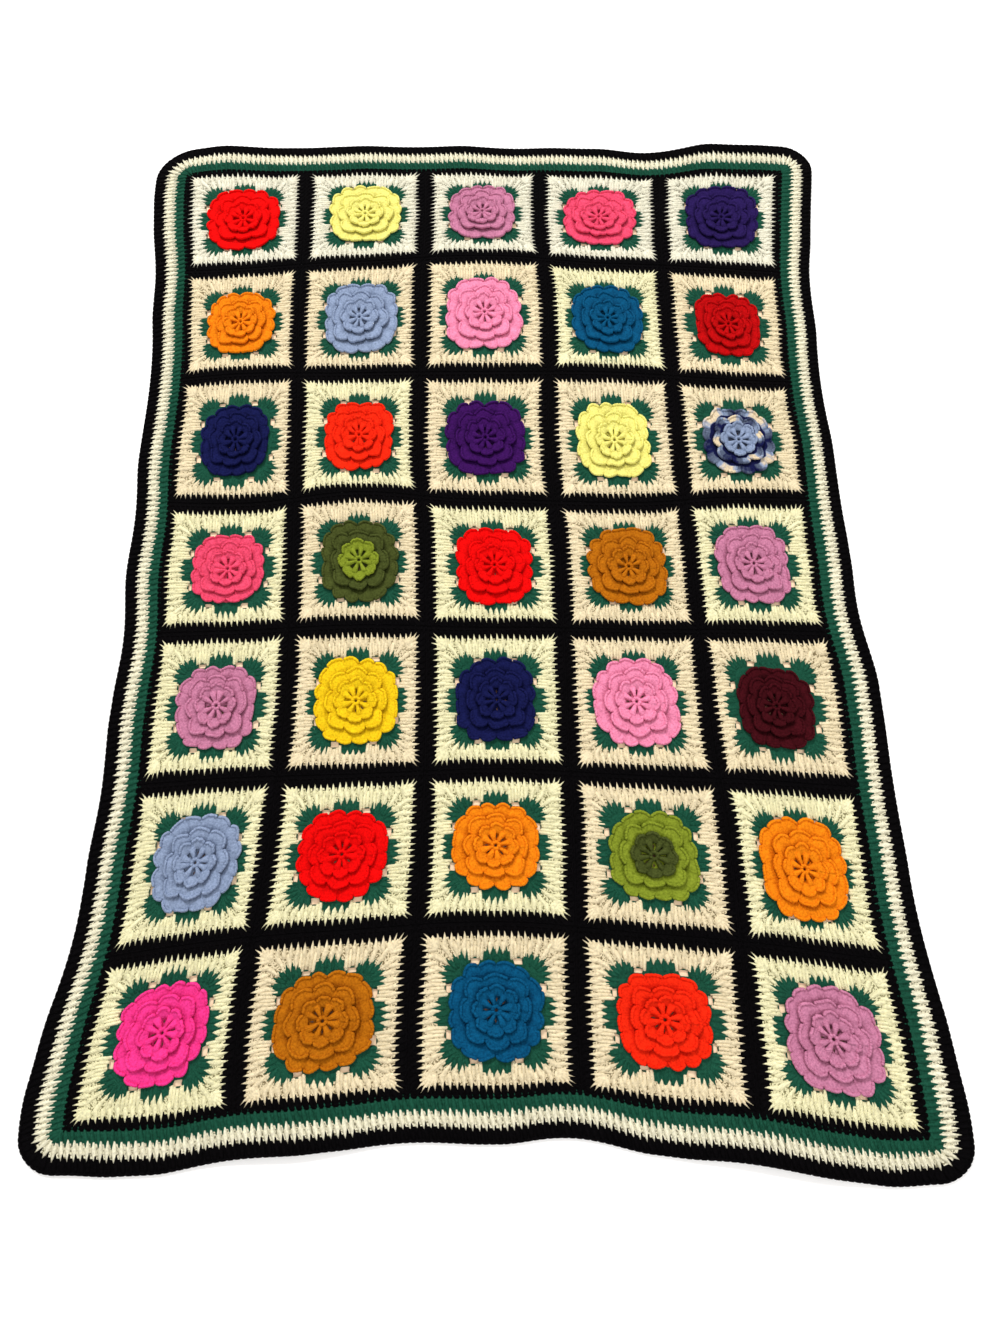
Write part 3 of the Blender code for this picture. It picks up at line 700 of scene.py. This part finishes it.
def rose_stitches(piece, square):
    """The rose: hub ring and spokes, then three tiers of petals that overlap like shingles."""
    chance, rose, size, vary = square.chance, square.rose, square.size, square.vary
    waves = []
    for k in (2, 3, 4, 5, 7):
        size_of, phase = chance.uniform(0.3, 1.0) / k**0.5, chance.uniform(0, 2 * pi)
        waves.append((k, size_of, phase, vary(1.2)))

    def polar(radius, angle, z):
        """A point of the rose. Handwork pulls it out of true, more towards the edge."""
        share = min(radius / 40, 1.2)
        outward = sum(a * sin(k * angle + p + q * radius / 20) for k, a, p, q in waves)
        sideways = sum(a * cos(k * angle + 2 * p - q * radius / 16) for k, a, p, q in waves)
        out = radius + share * 1.1 * outward
        angle += share * 1.2 * sideways / max(radius, 12)
        return (rose[0] + out * cos(angle), rose[1] + out * sin(angle), z)

    petal = 2 * pi / PETALS
    hub = square.middle_yarn
    dyed = square.yarn == "variegated"
    # Strength of the painted shade in the notches between petals, weaker on the yarn dyed in lengths.
    notch_shade_strength = 0.25 if dyed else 1.0

    def tone_at(angle, shift=0.0):
        """Tone of the stitch at an angle. A yarn dyed in lengths changes from one length to the next."""
        if not dyed:
            return chance.random()
        place = ((angle - shift) / (2 * pi) % 1) * len(DYE)
        k, share = int(place), place % 1
        return DYE[k] + (DYE[(k + 1) % len(DYE)] - DYE[k]) * share + vary(0.08)

    for i in range(HUB_LINKS):
        a0, a1 = 2 * pi * i / HUB_LINKS, 2 * pi * (i + 1.3) / HUB_LINKS
        piece.stitch(hub, "link", polar(4.2, a0, 5.6), polar(4.6, a1, 5.9), 5.0, 5.0, sides=6)
    for k in range(PETALS):
        angle = square.drifts[0] + petal * (k + 0.5) + vary(0.13)
        piece.stitch(hub, "spoke", polar(3.6, angle, 5.0), polar(17.5, angle + vary(0.06), 6.8),
                     6.3 + vary(1.1), 4.6, sides=6)

    inner_radius, inner_height, covered = 13.6, 8.8, 13.6
    for tier, own, drift in zip(TIERS, PETAL_TIERS, square.drifts):
        inmost = tier is TIERS[0]
        yarn = square.middle_yarn if inmost else square.yarn
        radius = tier.radius * size
        bulge = [1 + vary(own.uneven) for _ in range(PETALS)]
        raised = [vary(own.raised) for _ in range(PETALS)]
        notch = [chance.uniform(*own.notch) for _ in range(PETALS)]
        dent = [chance.uniform(0.07, 0.12) for _ in range(PETALS)]
        ruffle = [(k, chance.uniform(0.3, 0.9), chance.uniform(0, 2 * pi)) for k in (11, 14, 19)]
        if not inmost and chance.random() < 0.6:  # one petal is folded back a little
            bulge[chance.randrange(PETALS)] = 0.94

        def rim_point(angle, inset):
            """Radius and height of the rim at an angle, smooth from petal to petal, and depth in a notch."""
            turns = (angle - drift) / petal + 0.5
            k, v = floor(turns) % PETALS, turns % 1
            near_start = v < 0.5
            depth = notch[k] if near_start else notch[(k + 1) % PETALS]
            arc = sin(pi * v)
            wave = arc**0.65
            if own.bumps == 2:
                if 0.25 < v < 0.75:
                    depth = dent[k]
                wave = abs(sin(2 * pi * v)) ** 0.7
            neighbour = bulge[(k - 1) % PETALS] if near_start else bulge[(k + 1) % PETALS]
            edge = (bulge[k] + neighbour) / 2
            r = radius * (1 - depth * (1 - wave)) * (edge + (bulge[k] - edge) * arc)
            c, s = abs(cos(angle)), abs(sin(angle))
            r *= 1 + tier.squareness * ((c**SQUARE_POWER + s**SQUARE_POWER) ** (-1 / SQUARE_POWER) - 1)
            r += sum(a * sin(k * angle + p) for k, a, p in ruffle)
            return r - inset, tier.rim - 0.2 - own.fall * (1 - wave) + raised[k] * arc, 1 - wave

        # The petals: a closed ring whose top is ribbed by the posts and padded between the notches.
        turns = PETALS * own.posts * 2
        angles = [drift + 2 * pi * (i - 0.5) / turns for i in range(turns)]
        shades = [tone_at(a, own.shift) for a in angles]
        loops = [[], []]
        for a in angles:
            r = rim_point(a, 2.6)[0]
            loops[0].append(polar(r, a, LOW))
            loops[1].append(polar(r, a, tier.foot - 1.5))
        # Painted shade on the petals' underside and foot, and under the tier above.
        painted_shades = [-2.2, -1.2]
        hidden = (covered - inner_radius) / (radius - inner_radius)
        rest = 1 - hidden
        for share, depth in (  # from the rim in: how far towards it, and how much painted shade darkens it, most where the tier above hides it
            (1.0, 0.0),
            (1 - 0.2 * rest, 0.0),
            (1 - 0.45 * rest, 0.0),
            (hidden + 0.28 * rest, 0.0),
            (hidden + 0.04 * rest, -0.5 if inmost else -1.5),
            (0.0, -2.2),
        ):
            loop = []
            for i, a in enumerate(angles):
                r, z, fold = rim_point(a, 2.2)
                padding = 0.5 * sin(pi * max(share - hidden, 0) / rest) * (1 - 0.7 * fold)
                rib = 0.0 if i % 2 else 0.7
                height = inner_height - 2.6 + (z - 1.4 - inner_height + 2.6) * share**0.7
                loop.append(polar(inner_radius + (r - inner_radius) * share, a, height + padding - rib))
            loops.append(loop)
            painted_shades.append(depth)
        loops.append([polar(inner_radius, a, LOW) for a in angles])
        painted_shades.append(-2.2)
        # Painted shade: the petals are darker in each notch between them.
        notch_shades = [-1.6 * notch_shade_strength * max(rim_point(a, 0.0)[2] - 0.45, 0) for a in angles]
        tones = [depth + shade + fold for depth in painted_shades for shade, fold in zip(shades, notch_shades)]
        piece.grid(yarn, loops, tones)

        # The rim: a roll of edge chain links that dips into every notch.
        lobes = PETALS * own.bumps
        for k in range(lobes):
            for j in range(own.links):
                a0 = drift - petal / 2 + 2 * pi * (k + max((j - 0.4) / own.links, 0.02)) / lobes
                a1 = drift - petal / 2 + 2 * pi * (k + min((j + 1.4) / own.links, 0.98)) / lobes
                (r0, z0, fold), (r1, z1, _) = rim_point(a0, 2.3), rim_point(a1, 1.7)
                # Painted shade: a rim link is darker in a notch.
                tone = tone_at(a0, own.shift) - 0.8 * notch_shade_strength * max(fold - 0.5, 0)
                piece.stitch(yarn, "link", polar(r0, a0, z0 - 1.7), polar(r1, a1, z1 - 1.7), 4.0, 4.8,
                             sides=6, tone=tone, arch=0.2)
        inner_radius, covered = radius * 0.8 - 1.5, radius
        inner_height = tier.foot + 0.4

    # The back of the rose: the posts of its chain loops.
    for k in range(BACK_POSTS):
        angle = square.drifts[2] + 2 * pi * (k + 0.5) / BACK_POSTS
        piece.stitch(square.yarn, "leaf", polar(23, angle, 1.4), polar(49 * size, angle, 1.4), 5.4, 2.6,
                     tone=tone_at(angle))


# -------------------- the border
BORDER_STITCHES = 620
BORDER_WIDE = 6.9
BORDER_LEAN = 1.9


def walk(offset, count):
    """Points at even steps round the border at a distance from the squares, with outward directions."""
    for (a, b), (c, d), share in even_steps(rim(offset), count):
        run = hypot(c - a, d - b)
        yield a + (c - a) * share, b + (d - b) * share, (d - b) / run, -(c - a) / run


def border_piece(name, yarn, inner, outer, half_step, seed):
    """One round of the border, its tips reaching into the rounds on both sides of it."""
    chance = random.Random(seed)
    piece = Piece(name, chance)
    last = outer == BORDER
    middle = GREEN_BORDER + CREAM_BORDER / 2
    spots = list(walk(middle, BORDER_STITCHES * 2))
    for s, t, ns, nt in spots[half_step::2]:
        lean = BORDER_LEAN + chance.uniform(-0.8, 0.8)
        reach_in = inner - middle - SPIKE + chance.uniform(-0.8, 0.8)
        reach_out = outer - middle + (0.2 if last else SPIKE + chance.uniform(-0.8, 0.8))
        start = (s + ns * reach_in + nt * lean, t + nt * reach_in - ns * lean, MID + 0.2)
        end = (s + ns * reach_out - nt * lean, t + nt * reach_out + ns * lean, MID + 0.2)
        if last:
            piece.stitch(yarn, "spike", end, start, BORDER_WIDE, BORDER_TALL)
        else:
            piece.stitch(yarn, "leaf", start, end, BORDER_WIDE, BORDER_TALL, arch=0.15)
    if last:  # its edge is a chain
        link = 5.2
        for s, t, ns, nt in walk(BORDER - 1.6, BORDER_STITCHES):
            start = (s + nt * link - ns * 0.9, t - ns * link - nt * 0.9, MID + 0.3)
            end = (s - nt * link + ns * 0.6, t + ns * link + nt * 0.6, MID + 0.3)
            piece.stitch(yarn, "link", start, end, 3.8, 3.6)
    return piece.make()


# -------------------- the ground of the cloth
GROUND_ROSE = 44.0  # radius of the ground in the rose's yarn
LOBE_FROM, LOBE_TO = 50.0, 63.0
CELL = 40.0  # width of a cell in which the holes are looked up
# A ground's tone, below a stitch's mean: painted shade where the ground shows between stitches.
GROUND_SHADE_TONE = 0.35


def inside(point, loop):
    """True if the plan point lies inside the closed loop."""
    s, t = point
    crossings = 0
    for (s0, t0), (s1, t1) in zip(loop, loop[1:] + loop[:1]):
        if (t0 > t) != (t1 > t) and s < s0 + (t - t0) / (t1 - t0) * (s1 - s0):
            crossings += 1
    return crossings % 2 == 1


def square_loop(middle, half):
    return [(middle[0] + half * i, middle[1] + half * j) for i, j in ((-1, -1), (1, -1), (1, 1), (-1, 1))]


def ground_loops(squares):
    """The holes in the ground, and the lines between its colours."""
    holes, rings = [], []
    green = [(x, y) for x, y, _, _ in green_outline(32)]
    wide, narrow = SPACE_HALF_WIDTH, 1.5
    root, root_wide = SPACE_INNER - 5.0, 4.0
    space = ((root, -root_wide), (SPACE_INNER, -wide), (SPACE_OUTER - 0.8, -narrow),
             (SPACE_OUTER - 0.8, narrow), (SPACE_INNER, wide), (root, root_wide))
    lobe = ((LOBE_FROM, -LOBE), (LOBE_TO, -LOBE), (LOBE_TO, LOBE), (LOBE_FROM, LOBE))
    teardrop = ((7.5, 0.0), (10.5, -1.1), (13.2, 0.0), (10.5, 1.1))  # between two spokes
    for square in squares:
        rose = square.rose
        rings.append(divided(square_loop(square.middle, CREAM_EDGE), 24.0))
        rings.append([(rose[0] + x, rose[1] + y) for x, y in green])
        rings.append(circle(rose, GROUND_ROSE, 24))
        for side, middle in SPACES:
            holes.append([turned(side, out, middle + across, rose) for out, across in space])
            rings.append([turned(side, out, middle + across, rose) for out, across in lobe])
        for k in range(PETALS):
            angle = square.drifts[0] + 2 * pi * k / PETALS
            direction = (cos(angle), sin(angle))
            holes.append([turned(direction, out, across, rose) for out, across in teardrop])
        holes.append(circle(rose, 1.8, 6))
    return holes, rings


def ground_piece():
    """The thin cloth that carries all the stitches, with the open spaces cut."""
    squares = [Square(row, column) for row, column in SPOTS]
    holes, rings = ground_loops(squares)
    outline = divided(rim(BORDER - 0.8), 12.0)
    rounds = [divided(rim(offset), 24.0) for offset in (GREEN_BORDER, GREEN_BORDER + CREAM_BORDER)]
    rounds.append(divided(rim(0.0, sharp=True), PITCH / 6))
    points, edges = [], []
    for loop in [outline] + holes + rings + rounds:
        first = len(points)
        points += loop
        edges += [(first + i, first + (i + 1) % len(loop)) for i in range(len(loop))]
    corners, _, faces, *_ = delaunay_2d_cdt([Vector(p) for p in points], edges, [], 0, SAME_POINT)
    plan = [(p.x, p.y) for p in corners]
    cells = {}
    for hole in holes:
        cs, ct = sum(p[0] for p in hole) / len(hole), sum(p[1] for p in hole) / len(hole)
        cells.setdefault((round(cs / CELL), round(ct / CELL)), []).append(hole)

    def in_hole(point):
        i, j = round(point[0] / CELL), round(point[1] / CELL)
        around = [(i + di, j + dj) for di in (-1, 0, 1) for dj in (-1, 0, 1)]
        return any(inside(point, hole) for cell in around for hole in cells.get(cell, ()))

    def yarn_at(s, t):
        if abs(s) > COLUMNS * PITCH / 2 or abs(t) > ROWS * PITCH / 2:
            return "green" if inside((s, t), rounds[0]) else "cream" if inside((s, t), rounds[1]) else "black"
        column, row = (min(max(round(at / PITCH), -last), last) for at, last in ((s, 2), (t, 3)))
        square = squares[(3 - row) * COLUMNS + column + 2]
        x, y = abs(s - square.rose[0]), abs(t - square.rose[1])
        in_lobe = max(x, y) > LOBE_FROM and abs(min(x, y) - SPACE_MIDDLE) < LOBE
        if max(abs(s - square.middle[0]), abs(t - square.middle[1])) > CREAM_EDGE:
            return "black"
        if hypot(x, y) < GROUND_ROSE:
            return square.yarn
        if (x**GREEN_POWER + y**GREEN_POWER) ** (1 / GREEN_POWER) < GREEN_HALF and not in_lobe:
            return "green"
        return square.cream

    kept, looks = [], []
    piece = Piece("blanket_ground")
    for face in faces:
        s = sum(plan[i][0] for i in face) / 3
        t = sum(plan[i][1] for i in face) / 3
        if not in_hole((s, t)) and inside((s, t), outline):
            kept.append(face)
            looks.append(piece.yarn(yarn_at(s, t)))
    used = {}
    for face in kept:
        for i in face:
            used.setdefault(i, len(used))
    verts = [(*plan[i], height) for height in (GROUND_HIGH, GROUND_LOW) for i in used]
    n = len(used)
    top = [[used[i] for i in face] for face in kept]
    open_sides = {}
    for face, look in zip(top, looks):
        for a, b in zip(face, face[1:] + face[:1]):
            if (b, a) in open_sides:
                del open_sides[(b, a)]
            else:
                open_sides[(a, b)] = look
    all_faces = top + [[i + n for i in reversed(face)] for face in top]
    all_looks = looks + looks
    for (a, b), look in open_sides.items():
        all_faces += [[b, a, a + n], [b, a + n, b + n]]
        all_looks += [look, look]
    # Painted shade: the ground's strands run across the plan, so the cream ground takes the creases' painted
    # shade where the fuzz is high.
    piece.add(verts, all_faces, all_looks, [(s * 0.9, t * 0.9, GROUND_SHADE_TONE) for s, t, _ in verts])
    return piece.make(smooth=False)


# -------------------- build
ground = ground_piece()
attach(ground, "root")
dressed = []
for row, column in SPOTS:
    piece = square_piece(row, column)
    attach(piece, "root")
    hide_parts(f"square_r{row}_c{column}")
    dressed.append(piece)
GREEN_MORE = 0.8  # how much wider the green band shows than in the plan, and the black one
BLACK_MORE = 1.8
for name, yarn, inner, outer, half_step in (
    ("border_green", "green", 0.0, GREEN_BORDER + GREEN_MORE, 0),
    ("border_cream", "cream", GREEN_BORDER + GREEN_MORE, GREEN_BORDER + CREAM_BORDER - BLACK_MORE, 1),
    ("border_black", "black", GREEN_BORDER + CREAM_BORDER - BLACK_MORE, BORDER, 0),
):
    piece = border_piece("dressed_" + name, yarn, inner, outer, half_step, SEED + half_step + int(inner))
    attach(piece, "root")
    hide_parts(name)
    dressed.append(piece)
counts = [len(p.data.polygons) for p in dressed]
in_ground = len(ground.data.polygons)
print("triangles", sum(counts) + in_ground, "largest", max(counts), "ground", in_ground)


# -------------------- floor, light and camera
# The picture's surroundings are cut away to white; the floor still shows, peach, through the open spaces.
FLOOR = (0.92, 0.91, 0.90)
# painted shade: the dark floor under the blanket
UNDER_SHADE = (0.42, 0.21, 0.13)
SEEN = (0.95, 0.70, 0.47)
FLOOR_LEVEL, UNDER_LEVEL, SEEN_LEVEL = -0.0010, -0.0007, -0.0004
FLOOR_HALF = 6
SEEN_FROM, SEEN_TO, SEEN_HALF = 36, 70, 16  # a peach patch round an open space, mm


def floor_piece(name, points, level, faces, colour, glow=0.0):
    """A flat piece of floor through points of which the x and y are taken."""
    mesh = bpy.data.meshes.new(name)
    mesh.from_pydata([(*p[:2], level) for p in points], [], faces)
    material = bpy.data.materials.new(name)
    material.use_nodes = True
    set_inputs(material.node_tree.nodes["Principled BSDF"], {
        "Base Color": (*colour, 1),
        "Roughness": 0.9,
        "Emission Color": (*colour, 1),
        "Emission Strength": glow,
    })
    mesh.materials.append(material)
    piece = linked(name, mesh)


# The floor glows a little: painted light that washes its shadows out to white.
floor_piece("floor", square_loop((0, 0), FLOOR_HALF), FLOOR_LEVEL, [(0, 1, 2, 3)], FLOOR, 0.25)
under = placed([(s, t, 0) for s, t in divided(rim(5.0), PITCH / 4)])
# Under the blanket the floor is a dark brown sheet: painted shade, seen through the holes between the spokes.
floor_piece("floor_shade_under", under, UNDER_LEVEL, [tuple(range(len(under)))], UNDER_SHADE)
patch = ((SEEN_FROM, -SEEN_HALF), (SEEN_TO, -SEEN_HALF), (SEEN_TO, SEEN_HALF), (SEEN_FROM, SEEN_HALF))
seen = []
for row, column in SPOTS:
    rose = Square(row, column).rose
    for side, middle in SPACES:
        seen += [(*turned(side, out, middle + across, rose), 0) for out, across in patch]
corners = [tuple(range(i, i + 4)) for i in range(0, len(seen), 4)]
# The peach patches glow a little: painted light that lifts them above the shade under the blanket.
floor_piece("floor_seen", placed(seen), SEEN_LEVEL, corners, SEEN, 0.10)

world = bpy.data.worlds.new("studio")
bpy.context.scene.world = world
world.use_nodes = True
set_inputs(world.node_tree.nodes["Background"], {"Color": (1.0, 0.99, 0.98, 1), "Strength": 0.64})
bpy.context.scene.view_settings.view_transform = "Standard"


def area_light(name, location, size, power):
    """A round light that looks at the middle of the blanket."""
    data = bpy.data.lights.new(name, "AREA")
    data.shape = "DISK"
    data.size = size
    data.energy = power
    light = linked(name, data)
    light.location = location
    light.rotation_euler = (-Vector(location)).to_track_quat("-Z", "Y").to_euler()


area_light("key", (-1.0, 3.0, 3.2), 0.8, 150)
area_light("fill", (1.2, -0.8, 2.4), 2.2, 20)

PHOTO_HEIGHT = 1333  # px
FOCAL_LENGTH = 900  # px
CAMERA_PLAN = (0.0080, -0.4492)  # where the camera stands over the plan, and its height, m
CAMERA_HEIGHT = 1.0352
CAMERA_TILT = radians(17)
camera_data = bpy.data.cameras.new("camera")
camera_data.sensor_width = 36
camera_data.lens = FOCAL_LENGTH / PHOTO_HEIGHT * camera_data.sensor_width
camera = linked("camera", camera_data)
camera.location = (CAMERA_PLAN[0] - MIDDLE[0], CAMERA_PLAN[1] - MIDDLE[1], CAMERA_HEIGHT)
camera.rotation_euler = (CAMERA_TILT, 0, 0)
bpy.context.scene.camera = camera
